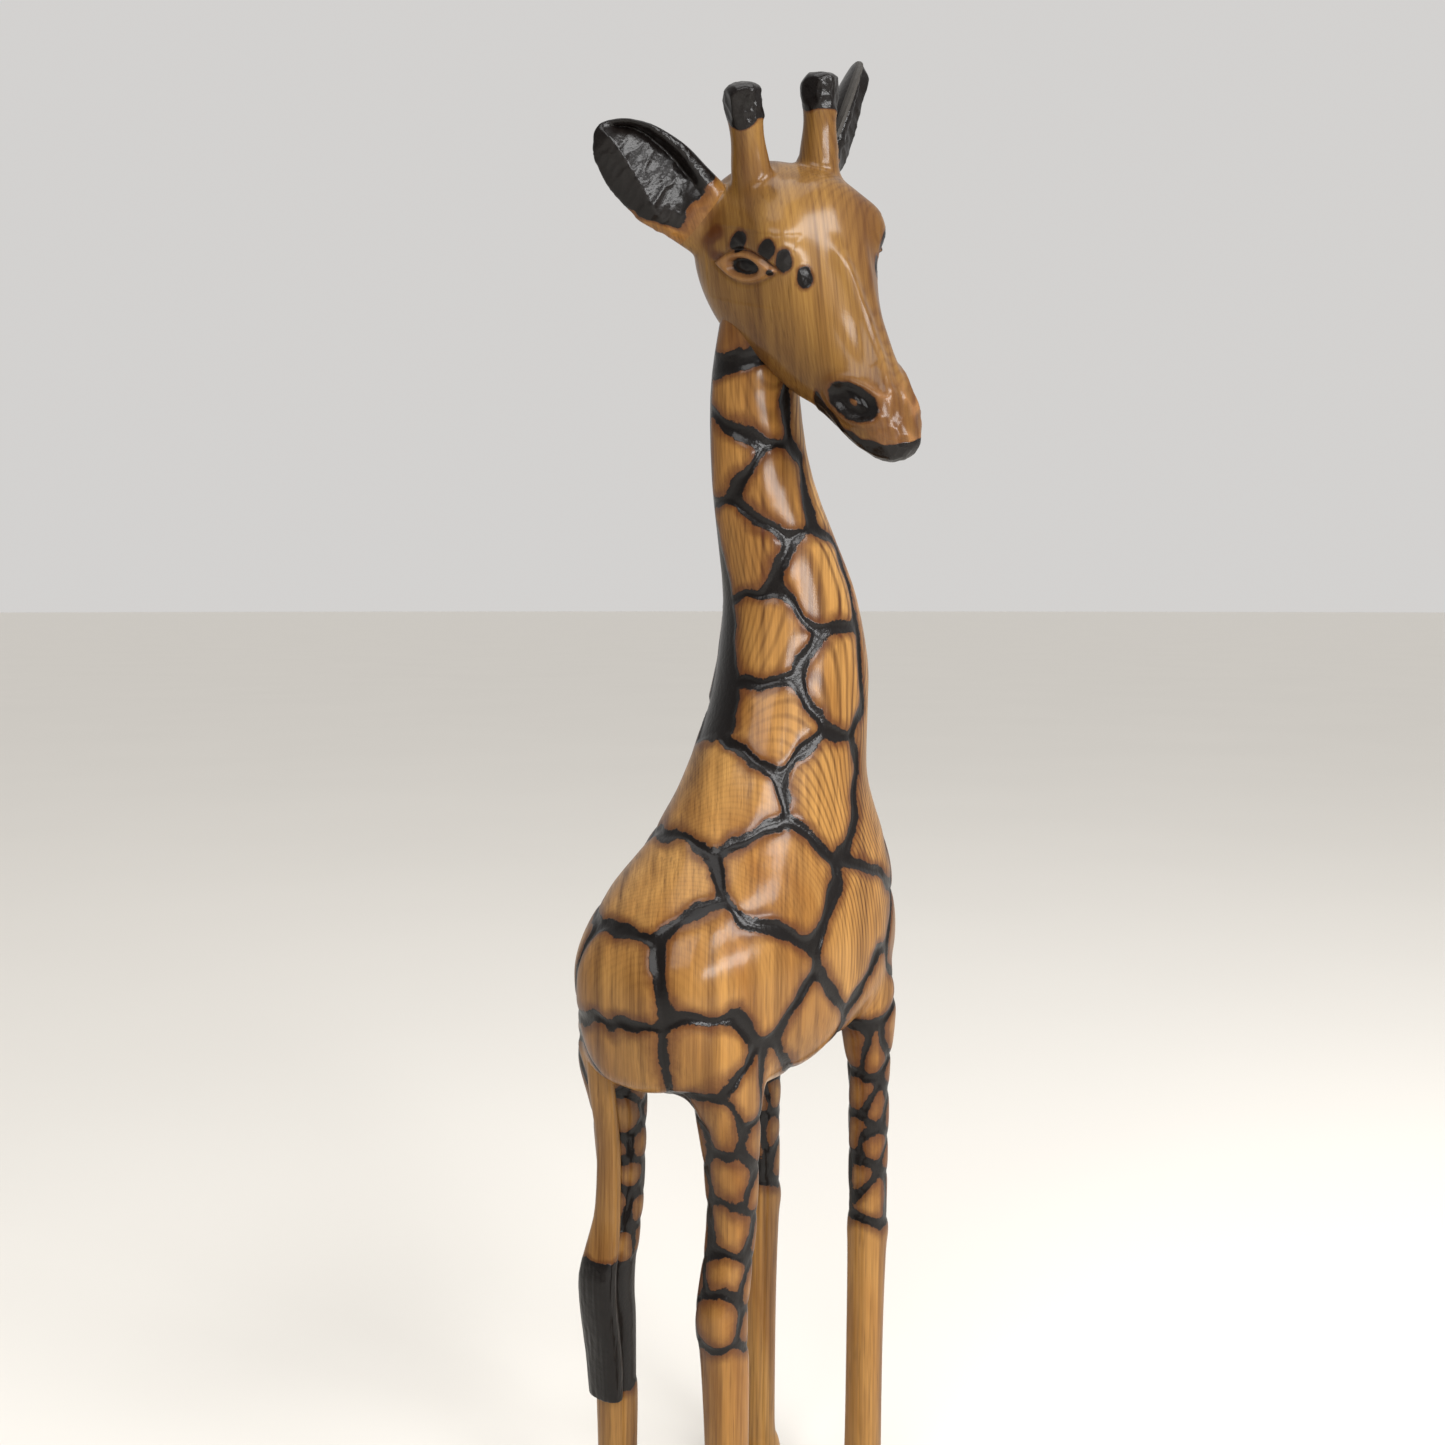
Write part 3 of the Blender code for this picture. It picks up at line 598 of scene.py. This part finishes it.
head = {
    "voxel": 0.5 * mm, "place": (9.6, -8.6, 389.1), "yaw": -87, "pitch": 48, "roll": 23,
    "rings": [
        # distance forward, sideways, top, bottom, half width, squareness
        (-25.5, 0, 7, -7.5, 9, 2), (-22, 0, 13.5, -14.5, 16, 2), (-14.5, 0, 18.5, -22, 22, 1.95),
        (-8, 0, 21.5, -25.5, 24, 2.1), (0, 0, 24.5, -27, 24.5, 2.4), (7, 0, 24, -27, 24, 2.6),
        (15, -0.8, 20.5, -26, 22, 2.5), (27, -2.4, 14, -25, 18, 2.1), (35, -3, 9.5, -23.5, 15.4, 2.1),
        (42, -3.3, 6.5, -20.8, 13.6, 2.1), (49, -3.6, 4.3, -19.2, 11.9, 2.05),
        (57, -4, 2.4, -17.8, 11.4, 2.05), (63, -4.2, 0.2, -16.7, 10.5, 2.1), (68, -4.2, -3, -15.2, 8.4, 2.1),
        (71.3, -4, -6, -13.6, 5.4, 2.1), (72.6, -4, -8.2, -11.6, 2.6, 2)],
    "brow": (8.5, 15.5, 12), "browRadii": (10.5, 8.4, 8.8),
    "earRoots": {1: (-14, 16.5, 6), -1: (-13.6, -17, 0.5)},
    "earTips": {1: (-39.4, 44, 28.9), -1: (-40.5, -46, 16.5)},
    "earFacing": (0.70, 0.70, 0.14), "earTurn": {1: 0, -1: 20},
    "earRings": [
        # share of its length, half width, half thickness
        (0, 10.2, 6.2), (0.14, 10.8, 6), (0.28, 11.3, 5.6), (0.45, 11.9, 5), (0.6, 11.5, 4.3),
        (0.75, 10.2, 3.4), (0.88, 7.4, 2.6), (0.96, 4.2, 1.9), (1, 1.6, 1.1)],
    "hornRoots": {1: (-8.6, 11, 16.6), -1: (-9.5, -11, 13.5)},
    "hornTips": {1: (-25.6, 14, 38.9), -1: (-26, -14, 38)},
    "hornProfile": [
        # share of its length, radius
        (-0.12, 8.6), (0, 6.6), (0.1, 6), (0.2, 5.8), (0.32, 5.5), (0.42, 5), (0.54, 4.7), (0.68, 5),
        (0.78, 5.6), (0.88, 5.7), (0.95, 4.7), (0.99, 2.8), (1, 0)],
    "earCut": 0.12, "hornCut": 0.16, "earBurn": 0.22, "hornBurn": 0.66,
    "earHollow": 4.4, "earRidge": 1.6,
    # flats cut on the horn caps: the way they face and how far out they lie
    "hornFacets": [((0.34, -0.54, 0.77), 4.3), ((0.85, 0.3, 0.4), 4.6), ((-0.5, -0.8, 0.3), 4.6),
                   ((0.1, 0.9, 0.4), 4.7)],
    "eye": {"middle": (7.6, -23.6, 4.4), "along": (20.4, 3.4, 13.1), "lids": (12, 4.7),
            "ball": (5.2, 2.3)},
    "browDots": [(2.3, -23.5, 9.5), (12.9, -22.8, 15.2), (17, -19.3, 14.4), (22.8, -15, 12.2)],
    "nostril": {"middle": (55.1, -13.7, -3.9), "along": (15.8, 3.9, 3.7), "half": (8.3, 4.5),
                "depth": 1.7},
    "muzzleDrift": -3.8,
    "lipLine": [(44, -9), (49, -10.8), (56, -11.6), (62, -10), (68, -7.6), (73, -5.5)],
    # smoke marks: middle, reach, strength
    "darkening": [((-5.5, -24, 2.5), 6, 0.85), ((-5.5, 24, 2.5), 6, 0.85), ((66, -3, -4), 12, 0.4),
              ((-13, -21, 4), 9, 0.45), ((-13, 21, 8), 9, 0.45), ((2, -23.5, 9), 4, 0.4)],
    "noseEdges": {-1: [(15, -4.5), (28, -2.8), (38, -2.2), (50, -4), (57, -6.6)],
                  1: [(15, 8), (28, 6), (50, 3), (60, 1)]},
}


def headTurn(head):
    turn = Matrix.Rotation(math.radians(head["yaw"]), 4, "Z")
    turn = turn @ Matrix.Rotation(math.radians(head["pitch"]), 4, "Y")
    turn = turn @ Matrix.Rotation(math.radians(head["roll"]), 4, "X")
    return np.array(turn.to_3x3())


def toFrame(head, points):
    return (np.asarray(points) @ headTurn(head).T + np.array(head["place"])) * mm


def earAxes(head, side):
    root, tip = np.array(head["earRoots"][side], float), np.array(head["earTips"][side], float)
    length = np.linalg.norm(tip - root)
    along = (tip - root) / length
    facing = np.array(head["earFacing"]) * (1, side, 1)
    facing -= along * facing.dot(along)
    facing /= np.linalg.norm(facing)
    turn = math.radians(head["earTurn"][side])
    facing = facing * math.cos(turn) - side * np.cross(along, facing) * math.sin(turn)
    return root, along, facing, np.cross(along, facing), length


def hornAxes(head, side):
    root, tip = np.array(head["hornRoots"][side], float), np.array(head["hornTips"][side], float)
    length = np.linalg.norm(tip - root)
    return root, (tip - root) / length, length


def alongAxis(h, root, along, length):
    # share of the way from an ear's or horn's root to its tip, and millimetres out from that line
    way = (h - root) @ along
    return way / length, np.linalg.norm((h - root) - np.outer(way, along), axis=1)


def headMesh(head):
    bm = bmesh.new()
    loft(bm, [toFrame(head, np.stack([np.full(56, f), s + a, (top + bottom) / 2 + b], 1))
              for f, s, top, bottom, halfB, n in smoothRows(head["rings"], 4)
              for a, b in [oval(56, halfB, (top - bottom) / 2, n)]])
    turn = Matrix(headTurn(head).tolist()).to_4x4()
    whole = Matrix.Translation(Vector(head["place"]) * mm) @ turn
    for side in (1, -1):
        f, s, t = head["brow"]
        shape = (Matrix.Translation(Vector((f, s * side, t)) * mm)
                 @ Matrix.Diagonal((*(Vector(head["browRadii"]) * mm), 1)))
        bmesh.ops.create_uvsphere(bm, u_segments=40, v_segments=24, radius=1, matrix=whole @ shape)
        root, along, facing, across, length = earAxes(head, side)
        rings = []
        for share, halfA, halfB in smoothRows(head["earRings"], 3):
            a, b = oval(40, halfA, halfB, 2)
            curl = (a / halfA) ** 2 * halfA * 0.16
            rings.append(toFrame(head, root + along * length * share + np.outer(a, across)
                                 + np.outer(b + curl, facing)))
        loft(bm, rings)
        root, along, length = hornAxes(head, side)
        lean = Vector((0, 0, 1)).rotation_difference(Vector(along)).to_matrix().to_4x4()
        place = whole @ Matrix.Translation(Vector(root) * mm) @ lean
        profile = smoothRows(head["hornProfile"], 2)
        verts = [bm.verts.new(place @ Vector((max(radius, 0) * mm, 0, share * length * mm)))
                 for share, radius in [(head["hornProfile"][0][0], 0)] + [tuple(row) for row in profile]]
        edges = [bm.edges.new(pair) for pair in zip(verts, verts[1:])]
        bmesh.ops.spin(bm, geom=verts + edges, cent=place.translation, use_merge=True,
                       axis=(place.to_3x3() @ Vector((0, 0, 1))).normalized(), angle=2 * math.pi, steps=32)
        bmesh.ops.remove_doubles(bm, verts=bm.verts, dist=1e-6)
    return remeshed(meshOf(bm, "headBlank"), head["voxel"])


def carveEye(h, lift, burnt, eye, side):
    # lids stand round an almond opening with the dark ball inside it
    drift = np.array([1.0, side, 1.0])
    middle = np.array(eye["middle"]) * drift * (1, -1, 1)
    along = np.array(eye["along"], float) * drift * (1, -1, 1)
    along /= np.linalg.norm(along)
    out = np.array([0.05, side, 0.12])
    out -= along * out.dot(along)
    out /= np.linalg.norm(out)
    over = np.cross(along, out) * side
    over *= np.sign(over[2])
    a, b, c = (h - middle) @ along, (h - middle) @ over, (h - middle) @ out
    near = (np.abs(a) < 15) & (np.abs(b) < 10) & (c > -8)
    lidL, lidH = eye["lids"]
    ballL, ballH = eye["ball"]
    outer = lidH * (1 - (a / lidL) ** 2) - np.abs(b)
    outer = np.where(np.abs(a) < lidL, outer, -np.hypot(np.abs(a) - lidL, b))
    inner = (1 - np.hypot(a / ballL, b / ballH)) * ballH
    crease = np.exp(-((outer - 0.1) / 0.7) ** 2) * np.where(b > 0, 0.85, 0.45)
    lid = 0.95 * step(0.0, 1.8, outer) * step(0.5, -1.2, inner)
    ball = -1.5 * step(-0.7, 0.4, inner) + 0.7 * step(0, 1.6, inner)
    sag = -0.8 * np.exp(-((a / 13) ** 2 + (b / 9) ** 2))
    lift = np.where(near, lift + lid + ball - crease + sag, lift)
    seam = np.abs(outer - 0.1) - 0.12 + np.where((b > 0) & (a > -3), 0, 0.6)
    corner = np.hypot(a - 9.6, b + 0.5) - 1.0
    mark = np.minimum(np.minimum(-inner, seam), corner)
    return lift, np.where(near, np.minimum(burnt, mark), burnt), np.where(near, step(-0.3, 1.2, outer), 0)


def carveEar(h, hn, lift, burnt, near, head, side):
    share, beside = near
    root, along, facing, across, length = earAxes(head, side)
    a, c = (h - root) @ across, (h - root) @ facing
    rows = np.array(head["earRings"], float)
    half = np.interp(share, rows[:, 0], rows[:, 1])
    onEar = (share > 0.02) & (beside < 18) & (share < 1.2)
    front = step(0.15, 0.6, hn @ facing) * onEar
    upper = -side * a / half
    # the scoop is deepest under the upper rim and climbs to a ridge that slants down to the root
    ridge = np.interp(share, (0.1, 0.5, 0.95), (-0.95, -0.45, 0.1))
    rim = np.interp(share, (0.1, 0.5, 0.95), (0.35, 0.62, 0.8))
    slope = np.clip((upper - ridge) / (rim - ridge), 0, 1)
    scoop = slope * np.clip((rim + 0.2 - upper) / 0.2, 0, 1)
    crest = np.clip((upper + 1.05) / (ridge + 1.06), 0, 1) * (1 - slope)
    reach = step(0.14, 0.42, share) * step(1.0, 0.9, share)
    lift = lift + front * reach * (head["earRidge"] * crest - head["earHollow"] * scoop)
    # gouge strokes run across the scoop
    strokes = onEar & (front > 0.05)
    own = np.stack([share * length, a * 0.4, c], 1)[strokes] + 0.3 * ripple(h[strokes], 5, 32)[:, None]
    gouged = scallops(own, 2.3, np.array([1.0, 1.0, 0.5]), 33)
    lift[strokes] += 0.62 * gouged * (front * step(0.12, 0.25, share))[strokes]
    ragged = 1.4 * ripple(h, 7, 21)
    inside = (head["earBurn"] + 0.30 * step(-0.55, -1.0, upper) - share) * length + ragged
    back = (head["earBurn"] + 0.12 - share) * length + ragged
    edge = np.where(hn @ facing > 0, inside, back)
    return lift, np.where(onEar, np.minimum(burnt, edge), burnt)


def carveHorn(h, hn, lift, burnt, near, head, side):
    share, beside = near
    root, along, length = hornAxes(head, side)
    onHorn = (share > 0.2) & (beside < 9)
    cap = (head["hornBurn"] - share) * length + 0.9 * ripple(h, 6, 22)
    for away, deep in head["hornFacets"]:
        flat = np.array(away) * (1, -side, 1) if side > 0 else np.array(away)
        flat = flat - along * flat.dot(along)
        flat /= np.linalg.norm(flat)
        past = np.where(onHorn, (h - root) @ flat - deep, 0)
        lift = lift - np.maximum(past, 0) * step(0.62, 0.72, share) / np.maximum(hn @ flat, 0.3)
    return lift, np.where(onHorn, np.minimum(burnt, cap), burnt)


def carveNostril(h, lift, burnt, head, side):
    # a burnt bowl with a low island left in its middle
    nostril = head["nostril"]
    drift = 2 * head["muzzleDrift"] if side > 0 else 0
    flip = np.array([1, -side, 1])
    middle = np.array(nostril["middle"]) * flip + (0, drift * side, 0)
    along = np.array(nostril["along"], float) * flip
    along /= np.linalg.norm(along)
    out = np.array([0.08, 0.87 * side, 0.4])
    out -= along * out.dot(along)
    out /= np.linalg.norm(out)
    across = np.cross(along, out)
    a, b, c = (h - middle) @ along, (h - middle) @ across, (h - middle) @ out
    halfA, halfB = nostril["half"]
    bowl = (1 - np.hypot(a / halfA, b / halfB)) * halfB
    near = c > -7
    depth = nostril["depth"] * step(-0.2, 1.9, bowl) - 0.55 * np.exp(-((bowl + 0.5) / 0.9) ** 2)
    island = 0.5 * step(2.9, 4.1, bowl)
    lift = lift - np.where(near, depth - island, 0)
    burnt = np.where(near, np.minimum(burnt, np.maximum(-bowl, (bowl - 3.7) * 0.8)), burnt)
    return lift, burnt, np.where(near, 0.5 * step(-4, 0, bowl), 0)


def burnBrowDots(h, lift, burnt, head, turn):
    for dot in head["browDots"]:
        for side in (-1, 1):
            gap = h - np.array(dot) * (1, -side, 1)
            sight = np.array([-0.344, -0.538 * side, -0.77])
            deep = gap @ sight
            gap -= np.outer(deep, sight)
            gap = gap @ turn.T
            gap[:, 2] /= 1.28
            away = np.linalg.norm(gap, axis=1) - 2.3 + 0.25 * ripple(h, 4, 23)
            away = np.where(np.abs(deep) < 7, away, 30)
            burnt = np.minimum(burnt, away)
            lift = lift - 0.25 * step(0.5, -0.5, away)
    return lift, burnt


def smoothRoots(mesh, points, h, near, head):
    # the brows, and the roots of the ears and horns, are rubbed into the skull
    soft = np.zeros(len(h))
    softBrow = np.zeros(len(h))
    for side in (1, -1):
        share, beside = near["ear", side]
        soft = np.maximum(soft, step(-0.35, -0.05, share) * step(0.45, 0.2, share) * step(24, 15, beside))
        share, beside = near["horn", side]
        soft = np.maximum(soft, step(-0.7, -0.3, share) * step(0.6, 0.25, share) * step(20, 12, beside))
        f, s, t = head["brow"]
        softBrow = np.maximum(softBrow, step(1.0, 0.7, np.linalg.norm((h - (f, s * side, t)) / 20, axis=1)))
    points = smoothed(mesh, points, np.full(len(h), 0.5), 8)
    points = smoothed(mesh, points, 0.6 * softBrow, 150)
    return smoothed(mesh, points, 0.6 * soft, 34)


def shapeHead(mesh, head):
    # h and hn are the points and normals in the head's own axes: forward, to its left and up
    points = readPoints(mesh) / mm
    turn = headTurn(head)
    h = (points - np.array(head["place"])) @ turn
    near = {}
    for side in (1, -1):
        root, along, facing, across, length = earAxes(head, side)
        near["ear", side] = alongAxis(h, root, along, length)
        near["horn", side] = alongAxis(h, *hornAxes(head, side))
    points = smoothRoots(mesh, points, h, near, head)
    writePoints(mesh, points * mm)
    h = (points - np.array(head["place"])) @ turn
    normals = readNormals(mesh)
    hn = normals @ turn
    burnt = np.full(len(h), 30.0)
    lift, scorchAndShade, freshCut = np.zeros(len(h)), np.zeros(len(h)), np.zeros(len(h))
    for side in (1, -1):
        lift, burnt = carveEar(h, hn, lift, burnt, near["ear", side], head, side)
        lift, burnt = carveHorn(h, hn, lift, burnt, near["horn", side], head, side)
        lift, burnt, onLid = carveEye(h, lift, burnt, head["eye"], side)
        freshCut = np.maximum(freshCut, 0.30 * onLid)
        lift, burnt, darkening = carveNostril(h, lift, burnt, head, side)
        scorchAndShade = np.maximum(scorchAndShade, darkening)
    lift, burnt = burnBrowDots(h, lift, burnt, head, turn)
    # burnt lips along the lower edge of the muzzle
    lips = h[:, 2] - np.interp(h[:, 0], *np.array(head["lipLine"], float).T) + 0.5 * ripple(h, 7, 24)
    lips = np.maximum(lips, head["lipLine"][0][0] - h[:, 0])
    burnt = np.minimum(burnt, lips)
    for middle, size, amount in head["darkening"]:
        away = np.linalg.norm(h - np.array(middle), axis=1)
        scorchAndShade = np.maximum(scorchAndShade, amount * step(size, size * 0.35, away + 1.5 * ripple(h, 5, 25)))
    # crisp edges each side of the flat bridge of the nose
    for side in (1, -1):
        offEdge = h[:, 1] - np.interp(h[:, 0], *np.array(head["noseEdges"][side], float).T)
        ridge = (np.exp(-(offEdge / 2.7) ** 2) * step(14, 26, h[:, 0]) * step(66, 58, h[:, 0])
                 * step(0.2, 0.6, hn[:, 2]))
        lift += (1.7 if side < 0 else 0.5) * ridge
    endOfMuzzle = step(46, 60, h[:, 0]) * step(-0.2, 0.4, hn[:, 2])
    chisel = np.zeros(len(h))
    rough = (endOfMuzzle > 0.01) | (burnt < 3)
    chisel[rough] = scallops(h[rough], 2.3, np.array([0.38, 1.0, 1.0]), 31)
    onEars = [step(0.05, 0.2, share) * step(19, 15, beside)
              for share, beside in (near["ear", 1], near["ear", -1])]
    onNeither = 1 - np.maximum(*onEars)
    lift += chisel * np.maximum(0.5 * endOfMuzzle, 0.5 * step(1.0, -1.0, burnt) * onNeither)
    freshCut = np.maximum(freshCut, 0.3 * endOfMuzzle * chisel ** 2)
    scorchAndShade = np.maximum(scorchAndShade, 0.5 * endOfMuzzle * step(8, -2, h[:, 1] + 6))
    points = points + normals * lift[:, None]
    writePoints(mesh, points * mm)
    writeFloat(mesh, "burnDistance", burnt)
    writeFloat(mesh, "scorchAndShade", scorchAndShade)
    writeFloat(mesh, "freshCut", freshCut)
    return mesh


whole = shapeHead(headMesh(head), head)
print("head carved", len(whole.polygons))
turn = headTurn(head)
skullPlanes = []
for side, hand in ((1, "left"), (-1, "right")):
    for kind, cutShare, finish, slot in (("ear", head["earCut"], earFinish, "burnt_wood"),
                                         ("horn", head["hornCut"], headFinish, "horn_wood")):
        if kind == "ear":
            root, along, facing, across, length = earAxes(head, side)
        else:
            root, along, length = hornAxes(head, side)
        spot = tuple(toFrame(head, root + along * length * cutShare))
        away = turn @ along
        skullPlanes.append((kind, side, hand, spot, tuple(away), finish, slot))


def partHead(whole, planes):
    # each ear and horn should be parted by one plane, within a short reach of its own root; open
    # fault: the left ear and left horn come out as one piece, and the right horn stays on the skull
    bm = bmesh.new()
    bm.from_mesh(whole)
    for kind, side, hand, spot, away, finish, slot in planes:
        reach = 0.02 if kind == "ear" else 0.012
        close = [face for face in bm.faces
                 if (face.calc_center_median() - Vector(spot)).length < reach]
        geom = (close + list({edge for face in close for edge in face.edges})
                + list({vert for face in close for vert in face.verts}))
        cut = bmesh.ops.bisect_plane(bm, geom=geom, dist=1e-8, plane_co=spot, plane_no=away)
        rim = [item for item in cut["geom_cut"] if isinstance(item, bmesh.types.BMEdge)]
        for edge in rim:
            edge.smooth = False
        bmesh.ops.split_edges(bm, edges=rim)
    bmesh.ops.holes_fill(bm, edges=[edge for edge in bm.edges if edge.is_boundary], sides=0)
    return meshOf(bm, "headParts")


def islandLabels(mesh):
    # which connected island each vertex belongs to, and how many islands there are
    bm = bmesh.new()
    bm.from_mesh(mesh)
    bm.verts.ensure_lookup_table()
    label = np.full(len(bm.verts), -1)
    count = 0
    for start in bm.verts:
        if label[start.index] >= 0:
            continue
        stack = [start]
        label[start.index] = count
        while stack:
            vert = stack.pop()
            for edge in vert.link_edges:
                other = edge.other_vert(vert)
                if label[other.index] < 0:
                    label[other.index] = count
                    stack.append(other)
        count += 1
    bm.free()
    return label, count


parts = partHead(whole, skullPlanes)
label, count = islandLabels(parts)
points = readPoints(parts)
print("head islands", count, [int((label == k).sum()) for k in range(count)])
biggest = int(np.bincount(label).argmax())
homes = {}
for kind, side, hand, spot, away, finish, slot in skullPlanes:
    if kind == "ear":
        root, along, facing, across, length = earAxes(head, side)
    else:
        root, along, length = hornAxes(head, side)
    middle = toFrame(head, root + along * length * 0.6)
    others = np.where(label != biggest)[0]
    nearest = others[np.linalg.norm(points[others] - middle, axis=1).argmin()]
    homes[int(label[nearest])] = (kind + hand.capitalize() + "Carved", finish, f"{kind}_{hand}", slot)
homes[biggest] = ("headCarved", headFinish, "head", "lacquered_wood")
for k, (name, finish, node, slot) in homes.items():
    bm = bmesh.new()
    bm.from_mesh(parts)
    bmesh.ops.delete(bm, geom=[vert for vert, own in zip(bm.verts, label) if own != k], context="VERTS")
    bmesh.ops.triangulate(bm, faces=[face for face in bm.faces if len(face.verts) > 4])
    finishPiece(meshOf(bm, name), name, finish, node)


# room: a pale floor, two softboxes to the viewer's right and a weaker one behind the viewer

room = {
    "floorColor": "#dcd8d1", "world": "#f0eeec", "worldStrength": (0.24, 0.75), "bright": (0.766, 0.643, 0.0),
    "overhead": (1.3, 50),
    "camera": (-355.9, -291.5, 288.0), "heading": 50.0, "downTilt": 4.47, "lens": 36 * 1565 / 1445,
    "lights": [
        # place in millimetres, aim, width, height, watts
        ((-150, -940, 440), (0, 0, 240), 0.7, 0.14, 7),
        ((0, -950, 960), (0, 0, 250), 0.8, 0.3, 12),
        ((-760, -400, 900), (0, 0, 250), 0.6, 0.5, 5)],
}


def makeFloor(room):
    bm = bmesh.new()
    bmesh.ops.create_circle(bm, cap_ends=True, segments=96, radius=40)
    floor = bpy.data.objects.new("floor", meshOf(bm, "floor"))
    bpy.context.scene.collection.objects.link(floor)
    material = bpy.data.materials.new("paperSweep")
    material.use_nodes = True
    tree = material.node_tree
    shader = tree.nodes["Principled BSDF"]
    place = addNode(tree, "TexCoord").outputs["Object"]
    tone = addNode(tree, "TexNoise", {"Vector": place}, {"Scale": 3, "Detail": 2.0}).outputs["Fac"]
    shade = addNode(tree, "MapRange", {"Value": tone}, {"To Min": 0.96, "To Max": 1.0}).outputs[0]
    colour = addNode(tree, "VectorMath", {"Scale": shade}, operation="SCALE")
    colour.inputs[0].default_value = linear(room["floorColor"])[:3]
    tree.links.new(colour.outputs[0], shader.inputs["Base Color"])
    shader.inputs["Roughness"].default_value = 0.9
    floor.data.materials.append(material)


def makeLights(room, shift):
    world = bpy.data.worlds.new("softRoom")
    bpy.context.scene.world = world
    world.use_nodes = True
    ground = world.node_tree.nodes["Background"]
    ground.inputs["Color"].default_value = linear(room["world"])
    # the room is brighter behind the statue than behind the viewer, so that black lines stay black
    way = addNode(world.node_tree, "TexCoord").outputs["Generated"]
    facing = addNode(world.node_tree, "VectorMath", {0: way}, {1: room["bright"]}, operation="DOT_PRODUCT")
    glow = addNode(world.node_tree, "MapRange", {"Value": facing.outputs["Value"]},
                   {"From Min": -0.7, "From Max": 0.7, "To Min": room["worldStrength"][0],
                    "To Max": room["worldStrength"][1]}).outputs[0]
    world.node_tree.links.new(glow, ground.inputs["Strength"])
    overhead = bpy.data.lights.new("overhead", "SUN")
    overhead.energy, overhead.angle = room["overhead"][0], math.radians(room["overhead"][1])
    bpy.context.scene.collection.objects.link(bpy.data.objects.new(overhead.name, overhead))
    for k, (place, aim, width, height, watts) in enumerate(room["lights"]):
        light = bpy.data.lights.new(f"softbox{k + 1}", "AREA")
        light.shape = "RECTANGLE"
        light.size, light.size_y, light.energy = width, height, watts
        thing = bpy.data.objects.new(light.name, light)
        bpy.context.scene.collection.objects.link(thing)
        thing.location = (Vector(place) + Vector(shift)) * mm
        thing.rotation_euler = (Vector(aim) - Vector(place)).to_track_quat("-Z", "Y").to_euler()


def makeCamera(room, shift):
    camera = bpy.data.cameras.new("camera")
    camera.sensor_width = 36
    camera.lens = room["lens"]
    camera.clip_start = 0.01
    thing = bpy.data.objects.new("camera", camera)
    bpy.context.scene.collection.objects.link(thing)
    thing.location = (Vector(room["camera"]) + Vector(shift)) * mm
    turn, tilt = math.radians(room["heading"]), math.radians(room["downTilt"])
    look = Vector((math.sin(turn) * math.cos(tilt), math.cos(turn) * math.cos(tilt), -math.sin(tilt)))
    thing.rotation_euler = look.to_track_quat("-Z", "Y").to_euler()
    bpy.context.scene.camera = thing


makeFloor(room)
makeLights(room, carvingShift)
makeCamera(room, carvingShift)
bpy.context.scene.view_settings.view_transform = "Standard"
print("room lit")
